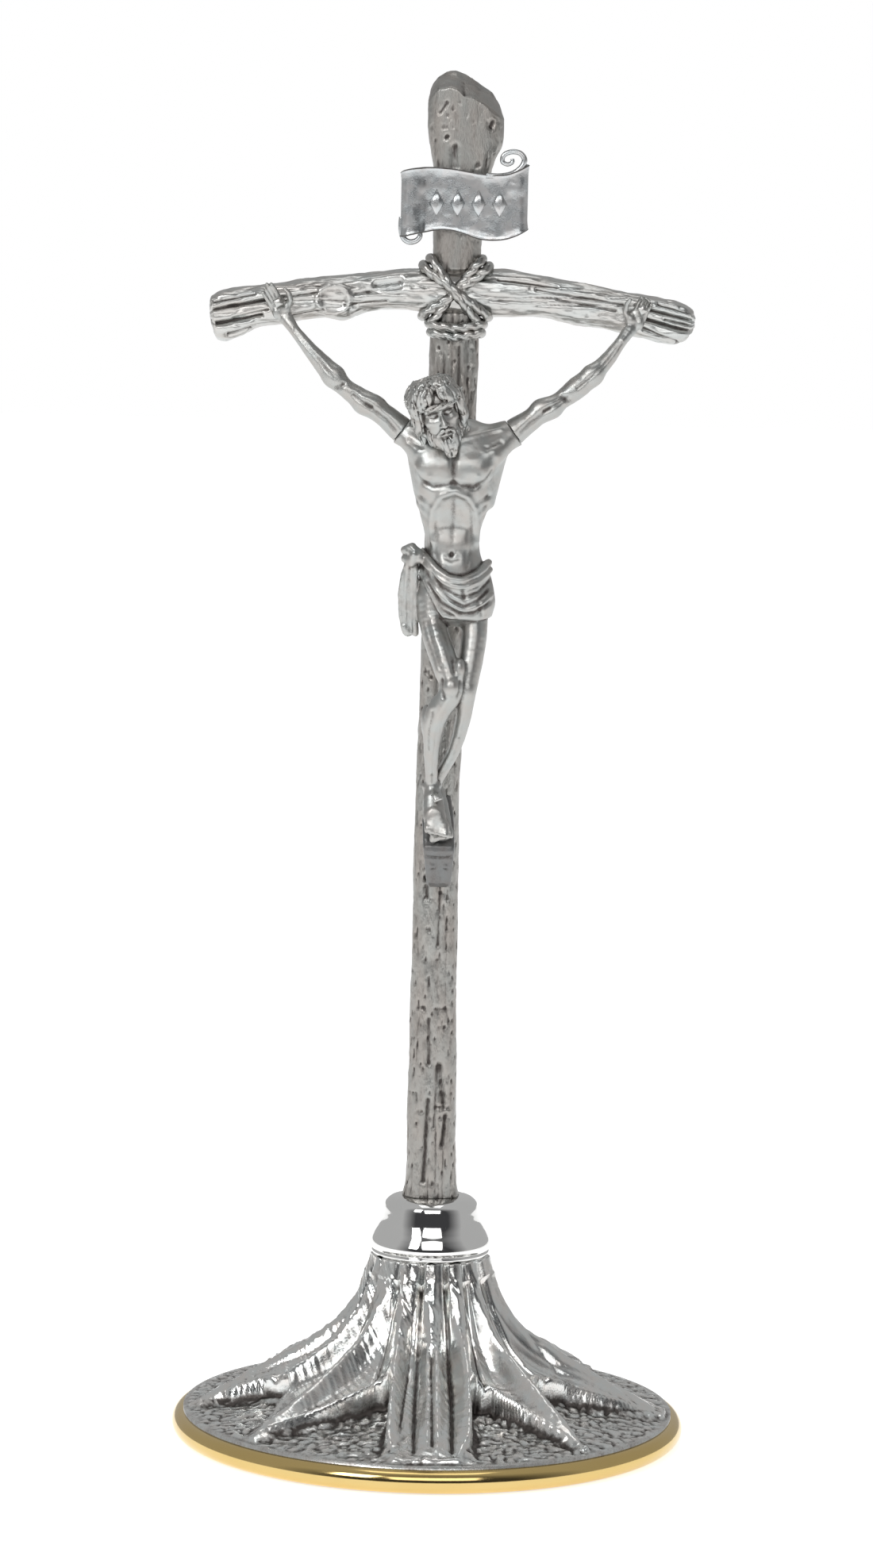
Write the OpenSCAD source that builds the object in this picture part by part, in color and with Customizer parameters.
// Altar cross on a cast tree-root base: two bark-textured logs halved into each other and lashed
// with rope, a title scroll, and a figure cast in three pieces and screwed on from behind.
// The origin is on the table under the middle of the base; the front faces -Y and the cross rises in +Z.

/* [Base] */
// Outer diameter of the gilt rim ring
rim_d = 151; // [150:0.5:152]
// Thickness of the half-round rim ring
rim_t = 6.8; // [6.4:0.2:7.2]
// Height of the neck of the base casting above the table
neck_z = 54.5; // [53.5:0.5:55.5]
// Diameter of the neck of the base casting
neck_d = 35; // [34:0.5:36]

/* [Collar] */
// Height of the polished collar
collar_h = 17.5; // [16.5:0.5:18.5]
// Largest diameter of the polished collar
collar_d = 35.6; // [35:0.2:36.4]

/* [Cross] */
// Height of the crossing of the two logs above the table
heart_z = 337.2; // [335:0.2:339]
// Height of the log head above the crossing
head_rise = 63.3; // [61:0.1:65]
// Span of the crossbar from end to end
bar_span = 138.6; // [136:0.2:142]
// Depth of both logs from front to back
log_d = 13; // [12.6:0.1:13.4]

/* [Lashing] */
// Diameter of one strand of the rope
rope_d = 2.3; // [2:0.1:2.6]

/* [Fastenings] */
// Diameter of the tie rod
rod_d = 6; // [5:0.5:6]
// Shank diameter of the screws that hold the castings on
screw_d = 2.4; // [2:0.1:2.6]
// Shank diameter of the nails
nail_d = 1.2; // [1:0.1:1.3]

/* [Hidden] */

silver = [0.74, 0.74, 0.73];
dark_silver = [0.5, 0.5, 0.5];
gilt = [0.83, 0.68, 0.36];
steel = [0.6, 0.61, 0.63];
felt_red = [0.42, 0.08, 0.1];

round_fn = 96;      // facets on turned pieces
gap = 0.05;         // play between cast pieces that only touch
past = 1;           // how far a cutter runs past the face that it cuts

// Base
felt_t = 1.5;
plate_t = 1.2;
seat_z = felt_t + plate_t;                     // underside of the base casting
edge_r = rim_d / 2 - 3.4;                      // outer edge of the base casting
edge_z = 8;                                    // height of that edge, a little proud of the ring
plate_r = edge_r - 2.5;
neck_r = neck_d / 2;
web_t = 6.5;                                   // metal under the neck, which the tie rod clamps
nut_flats = 10;
nut_h = 5;
washer_h = 1.6;
foot_z = neck_z + collar_h;                    // where the upright starts
rod_low = neck_z - web_t - washer_h - nut_h - 3;
rod_high = foot_z + 21;

// Roots: compass angle of each ridge, seen from above, and how wide it is in degrees
roots = [[-90, 13], [-139, 10], [-174, 9], [135, 10], [90, 11], [45, 10], [-9, 9], [-37, 10]];
root_steps = 72;    // points round the casting
root_rings = 13;    // rings from its edge to its neck

// Crossing of the logs, on their front faces: the figure, scroll and rope are placed from it
heart = [1.8, -log_d / 2, heart_z];
lap_h = 6.35;       // half height of the crossbar where it is halved into the upright
lap_w = 7.4;        // half width of the notch in the crossbar

// Height below the crossing and side offset of what is screwed on from behind
corpus_screw_z = [-52, -86];
corpus_screw_x = 0.4;
scroll_screw_z = [19, 30];
block_screw_z = -166;
head_r = 2.5;       // screw head
head_h = 2;
head_sink = 2.4;    // depth of its counterbore

// Hands
palm_x = 52.2;      // from the middle of the figure to each nail
palm_z = -4;
figure_x = 1.4;     // middle of the figure, from the crossing

// Feet
foot_nail_at = [-2.6, -152.5];
sole_slope = 36.4;  // lean of the face that the feet stand on, from upright

// ---------- helpers ----------

// Closed solid through rings that all have the same number of points
module loft(rings) {
    n = len(rings[0]);
    last = len(rings) - 1;
    polyhedron(
        points = [for (ring = rings) each ring],
        faces = [
            [for (i = [0 : n - 1]) i],
            for (j = [0 : last - 1]) for (i = [0 : n - 1]) let (k = (i + 1) % n, a = j * n)
                each [[a + i, a + n + i, a + n + k], [a + i, a + n + k, a + k]],
            [for (i = [n - 1 : -1 : 0]) last * n + i]
        ]
    );
}

function unit(v) = v / norm(v);
function rounded(v, power) = sign(v) * pow(abs(v), power);

// Direction of a path at one of its points
function along(path, i) =
    let (a = max(i - 1, 0), b = min(i + 1, len(path) - 1)) unit(path[b] - path[a]);

// Rings across a path. sizes gives each ring's half width across the view and half depth in Y.
// power 1 is an ellipse and smaller values are squarer.
function rings_along(path, sizes, sides, power = 1) = [
    for (i = [0 : len(path) - 1])
        let (t = along(path, i), n2 = unit([0, 1, 0] - t[1] * t), n1 = cross(n2, t))
        [for (s = [0 : sides - 1]) let (a = 360 * s / sides)
            path[i] + sizes[i][0] * rounded(cos(a), power) * n1
                    + sizes[i][1] * rounded(sin(a), power) * n2]
];

module limb(path, sizes, sides = 12, power = 1) {
    loft(rings_along(path, sizes, sides, power));
}

// Hole or shank along Y, from the point at, towards the back
module along_y(at, d, length, fn = round_fn) {
    translate(at) rotate([-90, 0, 0]) cylinder(d = d, h = length, $fn = fn);
}

module at_heart() {
    translate(heart) children();
}

// Screw with a round head sunk in the back of the upright; reach is how far it goes
module back_screw(x, z, d, reach, rim = head_r) {
    along_y([x, log_d - head_sink - reach, z], d, reach + head_h / 2);
    along_y([x, log_d - head_sink, z], 2 * rim, head_h);
}

// The hole for that screw through the upright
module back_hole(x, z, d, rim = head_r) {
    along_y([x, -past, z], d, log_d + 2 * past);
    along_y([x, log_d - head_sink, z], 2 * rim, head_sink + past);
}

// ---------- base ----------

module felt_pad() {
    color(felt_red) cylinder(r = plate_r, h = felt_t, $fn = round_fn);
}

module cover_plate() {
    color(steel) translate([0, 0, felt_t]) cylinder(r = plate_r - gap, h = plate_t, $fn = round_fn);
}

module rim_ring() {
    r = rim_t / 2;
    lift = 0.5;
    color(gilt) rotate_extrude($fn = round_fn) {
        difference() {
            translate([rim_d / 2 - r, r + lift]) circle(r = r, $fn = 48);
            translate([0, 0]) square([edge_r + gap, 2 * rim_t]);
        }
        translate([plate_r + gap, lift + 0.4]) square([edge_r - plate_r + 1, seat_z - lift - 0.4]);
    }
}

// How strongly a root stands out in one direction, from 0 to 1
function turn_between(a, b) = abs(((a - b) % 360 + 540) % 360 - 180);
function ridge(a) = max([for (r = roots) exp(-pow(turn_between(a, r[0]) / r[1], 2))]);

function share(v, low, high) = min(max((v - low) / (high - low), 0), 1);
function smooth(t) = t * t * (3 - 2 * t);

// Height of the casting at a radius and direction: a flared trunk whose roots run out to the rim
// and whose bark stops in a lip between them, above a shallow cone of ground
function base_height(r, a) =
    let (
        t = (edge_r - r) / (edge_r - neck_r),
        rise = neck_z - edge_z,
        crest = edge_z + rise * (0.655 * t + 0.345 * pow(t, 10)),
        ground = edge_z + 0.1 * (edge_r - r),
        stand = ridge(a),
        lip = 44 + 26 * stand,
        bark = 1 - smooth(share(r, lip - 9, lip)),
        hollow = 0.16 * (1 - stand) * smooth(share(r, neck_r + 2, 34))
    )
    ground + (crest - ground) * bark * (1 - hollow);

module base_skin() {
    radii = [for (j = [0 : root_rings - 1])
        neck_r + (edge_r - neck_r) * pow(1 - j / (root_rings - 1), 1.25)];
    function ring(r, level) = [for (s = [0 : root_steps - 1]) let (a = 360 * s / root_steps)
        [r * cos(a), r * sin(a), level == undef ? base_height(r, a) : level]];
    loft([ring(edge_r, seat_z), for (r = radii) ring(r)]);
}

module base_cavity() {
    top = neck_z - web_t;
    rotate_extrude($fn = round_fn) polygon([
        [0, seat_z - past], [edge_r - 5, seat_z - past], [edge_r - 5, seat_z], [60, 4.6],
        [44, 7.4], [34, 13], [27, 21], [22, 31], [18, 40], [13, top], [0, top]
    ]);
}

module base_casting() {
    color(silver) difference() {
        base_skin();
        base_cavity();
        cylinder(d = rod_d + 0.2, h = neck_z + past, $fn = round_fn);
    }
}

module tie_rod() {
    color(steel) translate([0, 0, rod_low])
        cylinder(d = rod_d, h = rod_high - rod_low, $fn = round_fn);
}

module tie_washer() {
    color(steel) translate([0, 0, neck_z - web_t - washer_h]) difference() {
        cylinder(d = 18, h = washer_h, $fn = round_fn);
        translate([0, 0, -past]) cylinder(d = rod_d + 0.4, h = washer_h + 2 * past, $fn = round_fn);
    }
}

module tie_nut() {
    color(steel) translate([0, 0, neck_z - web_t - washer_h - nut_h]) difference() {
        cylinder(d = nut_flats / cos(30), h = nut_h, $fn = 6);
        translate([0, 0, -past]) cylinder(d = rod_d, h = nut_h + 2 * past, $fn = round_fn);
    }
}

// ---------- collar ----------

function arc(centre, r, from, to, steps) =
    [for (i = [0 : steps]) let (a = from + (to - from) * i / steps) centre + r * [cos(a), sin(a)]];

module collar() {
    r = collar_d / 2;
    color(silver) translate([0, 0, neck_z]) difference() {
        rotate_extrude($fn = round_fn) polygon(concat(
            [[0, 0]],
            arc([r - 2, 1.5], 1.5, -90, 60, 8),
            arc([r - 3.2, 4.6], 3.2, -12, 28, 6),
            [[r - 3.2, collar_h - 6.4]],
            arc([r - 7, collar_h - 3.2], 3.2, 15, 90, 8),
            [[0, collar_h]]
        ));
        translate([0, 0, -past])
            cylinder(d = rod_d + 0.2, h = collar_h + 2 * past, $fn = round_fn);
    }
}

// ---------- logs ----------

// One level of the upright: middle, half width, half depth and the slope of the level
function log_ring(x, z, w, d, slope) = [for (s = [0 : 15]) let (a = 22.5 * s, c = rounded(cos(a), 0.5))
    [x + w * c, d * rounded(sin(a), 0.5), z + slope * w * c]];

module upright_log() {
    half = log_d / 2;
    top = heart_z + head_rise;
    loft([
        log_ring(-0.2, foot_z, 7.6, half, 0),
        log_ring(-0.2, foot_z + 14, 7.0, half, 0),
        log_ring(-0.5, 130, 6.7, half, 0),
        log_ring(-0.5, 195, 6.2, half, 0),
        log_ring(0.6, 255, 6.5, half, 0),
        log_ring(1.6, heart_z - 22, 6.9, half, 0),
        log_ring(2.0, heart_z + 12, 7.2, half, 0),
        log_ring(2.6, top - 26.5, 8.2, half, 0),
        log_ring(3.1, top - 20, 9.4, half, 0),
        log_ring(3.7, top - 12, 10.9, half, -0.12),
        log_ring(2.4, top - 6, 9.2, half - 0.7, -0.28),
        log_ring(-0.2, top - 1.6, 4.8, half - 2.4, -0.33)
    ]);
}

module upright() {
    color(silver) difference() {
        upright_log();
        at_heart() translate([-20, -past, -lap_h]) cube([40, past + log_d / 2, 2 * lap_h]);
        cylinder(d = rod_d, h = rod_high, $fn = round_fn);
        at_heart() {
            back_hole(0, 0, screw_d + 0.1);
            for (z = corpus_screw_z) back_hole(corpus_screw_x, z, screw_d + 0.1);
            for (z = scroll_screw_z) back_hole(0.5, z, screw_d + 0.1);
            back_hole(-1.4, block_screw_z, screw_d + 0.1);
        }
    }
}

// The crossbar droops from the crossing to both ends: place along it, droop and half height
bar_left = [[1, -9.3, 4.6], [0.97, -8.9, 6.3], [0.88, -8.2, 7.4], [0.71, -5.3, 6.8],
    [0.51, -3.2, 6.7], [0.3, -1, 6.2], [0.16, 0, lap_h], [0.125, 0, lap_h]];
bar_right = [[0.125, 0, lap_h], [0.16, 0, lap_h], [0.33, -1.2, 6.1], [0.5, -2.8, 6.1],
    [0.71, -4.7, 6.4], [0.86, -6.9, 6.9], [0.95, -7.4, 5.8], [0.985, -8, 4.2]];

module crossbar_log() {
    half = log_d / 2;
    stations = [
        for (s = bar_left) [-s[0] * bar_span / 2 - 0.9, s[1], s[2]],
        for (s = bar_right) [s[0] * bar_span / 2, s[1], s[2]]
    ];
    limb(
        [for (s = stations) [s[0], half, s[1]]],
        [for (s = stations) [s[2], s[2] < 5 ? half * 0.7 : half]],
        16, 0.5
    );
}

module crossbar() {
    color(silver) at_heart() difference() {
        crossbar_log();
        translate([-lap_w, log_d / 2, -20]) cube([2 * lap_w, log_d, 40]);
        along_y([0, log_d / 2 - 5, 0], screw_d, log_d);
        for (side = [-1, 1])
            along_y([figure_x + side * palm_x, -past, palm_z], nail_d, 8 + past);
    }
}

module crossbar_screw() {
    color(steel) at_heart() back_screw(0, 0, screw_d, log_d - head_sink - 1.5);
}

// ---------- rope ----------

module strand(points) {
    for (i = [0 : len(points) - 1]) hull() {
        translate(points[i]) sphere(d = rope_d, $fn = 8);
        translate(points[(i + 1) % len(points)]) sphere(d = rope_d, $fn = 8);
    }
}

// One turn of rope round the crossing, from a low corner to the high corner opposite
module diagonal(low, high, lift) {
    front = -rope_d / 2 - gap;
    back = log_d + rope_d / 2 + gap;
    middle = (low + high) / 2;
    strand([
        [low[0], front, low[1]], [middle[0], front - lift, middle[1]], [high[0], front, high[1]],
        [high[0], back, high[1]], [low[0], back, low[1]]
    ]);
}

module lashing() {
    x = 7.4 + rope_d / 2;
    z = lap_h + 0.6 + rope_d / 2;
    half_step = rope_d / 2;
    front = -rope_d / 2 - gap;
    back = log_d + rope_d / 2 + gap;
    color(dark_silver) at_heart() {
        for (way = [-1, 1]) for (side = [-1, 1]) let (shift = 0.7 * side * half_step)
            diagonal([-way * (x + shift), shift - z], [way * (x + shift), z - shift], way < 0 ? 1.7 : 0);
        for (level = [-9.9, -12]) strand([
            [-x, front, level], [x, front, level], [x, back, level], [-x, back, level]
        ]);
    }
}

// ---------- title scroll ----------

scroll_t = 2.2;

module scroll_outline() {
    polygon([
        [-14.1, 32.8], [-16.1, 18.8], [-14.8, 15], [-6.8, 17], [0.5, 15.6], [7.2, 14],
        [14, 15], [18.6, 17.6], [19.6, 20], [19.6, 36.6], [17.9, 36.6], [14.3, 32.6], [5.2, 33.2], [-3.9, 35.4]
    ]);
    translate([15.4, 36.6]) difference() {
        circle(r = 4.2, $fn = 48);
        circle(r = 2.6, $fn = 48);
    }
}

module title_scroll() {
    color(silver) at_heart() difference() {
        union() {
            translate([0, -gap, 0]) rotate([90, 0, 0]) linear_extrude(scroll_t) scroll_outline();
            for (i = [0 : 3]) translate([-9 + 7 * i, -gap - scroll_t + 0.2, 25])
                rotate([90, 0, 0]) cylinder(r = 1.8, h = 0.8, $fn = 4);
        }
        for (z = scroll_screw_z) along_y([0.5, -gap - scroll_t + 0.8, z], screw_d, scroll_t);
    }
}

module scroll_screws() {
    color(steel) at_heart() for (z = scroll_screw_z)
        back_screw(0.5, z, screw_d, log_d - head_sink + 1.3);
}

// ---------- figure ----------

// Middle line and half sizes of one arm, from the shoulder seam to the fingers. side is -1 for the
// figure's right arm, which is on the left as it is looked at, and 1 for the left arm.
function arm_path(side) = [
    for (p = [[16.1, -6.5, -39.9], [22.7, -6.5, -35.2], [29.4, -6, -30], [36.4, -5.6, -24],
        [41.7, -5, -18.2], [45.9, -4, -13], [48.9, -2.9, -8.5], [51.4, -2.2, -5.2], [54.2, -1.9, -1.6],
        [55.6, -1.8, 0.4]])
    [figure_x + side * p[0], p[1], p[2]]
];
arm_sizes = [[4.5, 4.6], [3.7, 4], [3.5, 3.6], [3, 3.1], [2.9, 2.9], [2.3, 2.3], [1.9, 1.8],
    [2.7, 1.5], [2.3, 1.2], [1.2, 0.8]];

module arm(side) {
    color(silver) at_heart() difference() {
        limb(arm_path(side), arm_sizes, 14);
        along_y([figure_x + side * palm_x, -10, palm_z], nail_d + 0.1, 12);
    }
}

module right_arm() {
    arm(-1);
}

module left_arm() {
    arm(1);
}

// Shoulder stub that ends flush with the arm's seam
module shoulder(side) {
    path = arm_path(side);
    seam = path[0];
    way = unit(path[1] - seam);
    limb([[figure_x + side * 5, -8, -43], seam - 3 * way, seam], [[5, 5], [4.8, 4.8], arm_sizes[0]], 14);
}

// Stack of level ellipses: height, middle in X and Y, half width and half depth
module trunk(levels) {
    loft([for (v = levels) [for (s = [0 : 19]) let (a = 18 * s)
        [v[1] + v[3] * cos(a), v[2] + v[4] * sin(a), v[0]]]]);
}

module torso() {
    trunk([
        [-95, 1.4, -9.6, 8, 5.5], [-92, 1.4, -9, 10.2, 7], [-86, 1.2, -8, 10.8, 7.3],
        [-80, 0.8, -7.6, 9.8, 6.9], [-74, 0.4, -7.6, 8.4, 6.6], [-68, 0.4, -7.8, 8.6, 6.6],
        [-62, 0.5, -8.4, 10.1, 7.3], [-57, 0.3, -8.9, 11, 8], [-50, 0.4, -9, 12.2, 8.2],
        [-45, 0.9, -8.4, 13.2, 7.6], [-41, 1.2, -7.4, 11.8, 6], [-38, 1.2, -6.8, 7, 4.6]
    ]);
}

module loincloth() {
    trunk([
        [-94.5, 1.5, -10.4, 10.9, 8], [-90, 1.4, -9.5, 11.7, 8.8], [-84, 1.1, -8.5, 11.3, 8.4],
        [-77, 0.6, -7.8, 9.8, 7.6]
    ]);
    hull() {
        translate([-12.4, -9.6, -77]) sphere(r = 2.7, $fn = 14);
        translate([-8.5, -9.5, -77.5]) sphere(r = 2.4, $fn = 14);
    }
    limb([[-11, -9.6, -77], [-12.2, -9.2, -80], [-13, -9, -88], [-12, -8.6, -97.8]],
        [[1.4, 1.2], [2.3, 1.7], [2.5, 1.5], [2.1, 1]]);
}

// Chain of round-ended pieces: [point, radius] at each joint
module chain(joints, fn = 14) {
    for (i = [0 : len(joints) - 2]) hull() {
        translate(joints[i][0]) sphere(r = joints[i][1], $fn = fn);
        translate(joints[i + 1][0]) sphere(r = joints[i + 1][1], $fn = fn);
    }
}

module legs() {
    // right leg, whose shin and foot lie in front
    chain([[[-4.6, -9, -90], 5.8], [[-3.2, -14.5, -101], 4.6], [[-0.6, -18.5, -109.5], 4.1],
        [[0.8, -20, -114], 3.9], [[-2.9, -17.4, -121], 3.9], [[-4.1, -12.4, -132.5], 2.5],
        [[-4.2, -8.4, -142], 2]]);
    // left leg
    chain([[[7, -8.6, -90], 5.2], [[7.8, -12, -100], 4], [[6.4, -16.5, -115.5], 3.2],
        [[5, -14, -122], 2.9], [[2.4, -9.8, -131.5], 2.3], [[-1.6, -5.4, -141.5], 2]]);
}

module feet() {
    lean = [0, -sin(sole_slope), -cos(sole_slope)];
    out = [0, -cos(sole_slope), sin(sole_slope)];
    top = [-1.6, -1.5, -146];
    for (foot = [[0.2, 2.3], [-1.4, 5.6]]) {
        heel = top + foot[1] * out + [foot[0] - 1, 0, 0] + 0.5 * lean;
        toes = top + foot[1] * out + [foot[0] + 0.6, 0, 0] + 14.5 * lean;
        limb([heel - 2 * lean, heel, (heel + toes) / 2, toes, toes + 1.5 * lean],
            [[1.3, 1.2], [2.2, 2], [3.4, 1.9], [3.4, 1.5], [2, 0.9]]);
    }
}

// The head keeps its place, tilt and size. Its face is plain here.
module head() {
    chain([[[0, -18.4, -46.6], 1.8], [[-0.8, -18.4, -43.2], 3.8], [[-3, -16.8, -38], 6],
        [[-4.6, -15.3, -33.6], 7.2], [[-5.6, -14.3, -30], 6.4]]);
    chain([[[1.4, -8, -44], 4.4], [[-2.6, -12.6, -37], 4]]);
    chain([[[-10, -13, -31.5], 2.6], [[-11, -11.6, -38], 2.6], [[-9.4, -9.6, -43.5], 2]]);
    chain([[[1.6, -12.6, -33], 2.6], [[4.4, -11.4, -38.5], 2.5], [[5, -10.2, -43.5], 2]]);
    translate([-4.7, -15.2, -32.8]) rotate([-8, 14, 0])
        rotate_extrude($fn = 20) translate([7.3, 0]) circle(r = 1, $fn = 6);
}

module corpus() {
    color(silver) at_heart() difference() {
        union() {
            torso();
            for (side = [-1, 1]) shoulder(side);
            loincloth();
            legs();
            feet();
            head();
        }
        translate([-30, -2 * gap, -200]) cube([60, 20, 200]);
        for (z = corpus_screw_z) along_y([corpus_screw_x, -5.2, z], screw_d + 0.1, 10, 24);
        sole_cut();
        foot_nail_shape(nail_d + 0.1, 24);
    }
}

module corpus_screws() {
    color(steel) at_heart() for (z = corpus_screw_z)
        back_screw(corpus_screw_x, z, screw_d, log_d - head_sink + 5);
}

module hand_nails() {
    color(dark_silver) at_heart() for (side = [-1, 1]) {
        along_y([figure_x + side * palm_x, -3.9, palm_z], nail_d, 8);
        along_y([figure_x + side * palm_x, -4.9, palm_z], 2.4, 1.1);
    }
}

// ---------- foot block ----------

module side_profile(points) {
    rotate([90, 0, 90]) translate([0, 0, -20]) linear_extrude(40) polygon(points);
}

block_side = [[0, -146], [-1.5, -146], [-11.5, -159.57], [-11.5, -161], [-9, -170.2], [0, -172.6]];

// Everything behind the sloping face of the foot block
module sole_cut() {
    side_profile([[2, -145], [-1.5 - gap, -145], [-1.5 - gap, -146], [-11.6, -159.5], [-11.6, -174], [2, -174]]);
}

module foot_block_body() {
    intersection() {
        rotate([90, 0, 0]) translate([0, 0, -past]) linear_extrude(20)
            polygon([[-5, -144], [-6.6, -153], [-5, -175], [2, -175], [3, -160], [2.4, -153], [1.4, -144]]);
        side_profile(block_side);
    }
}

module foot_block() {
    color(silver) at_heart() difference() {
        translate([0, -gap, 0]) foot_block_body();
        foot_nail_shape(nail_d, round_fn);
        along_y([-1.4, -6, block_screw_z], screw_d, 12);
    }
}

module foot_block_screw() {
    color(steel) at_heart() back_screw(-1.4, block_screw_z, screw_d, log_d - head_sink + 5.8);
}

// Shank of the nail, square to the face that the feet stand on
module foot_nail_shape(d, fn) {
    translate([foot_nail_at[0], -14.6, foot_nail_at[1] + 7]) rotate([-90 - sole_slope, 0, 0])
        translate([0, 0, -3]) cylinder(d = d, h = 16, $fn = fn);
}

module foot_nail() {
    color(dark_silver) at_heart() intersection() {
        foot_nail_shape(nail_d, round_fn);
        translate([-10, -17.6, -170]) cube([20, 14, 40]);
    }
}

felt_pad();
cover_plate();
rim_ring();
base_casting();
tie_rod();
tie_washer();
tie_nut();
collar();
upright();
crossbar();
crossbar_screw();
lashing();
title_scroll();
scroll_screws();
corpus();
right_arm();
left_arm();
corpus_screws();
hand_nails();
foot_block();
foot_block_screw();
foot_nail();
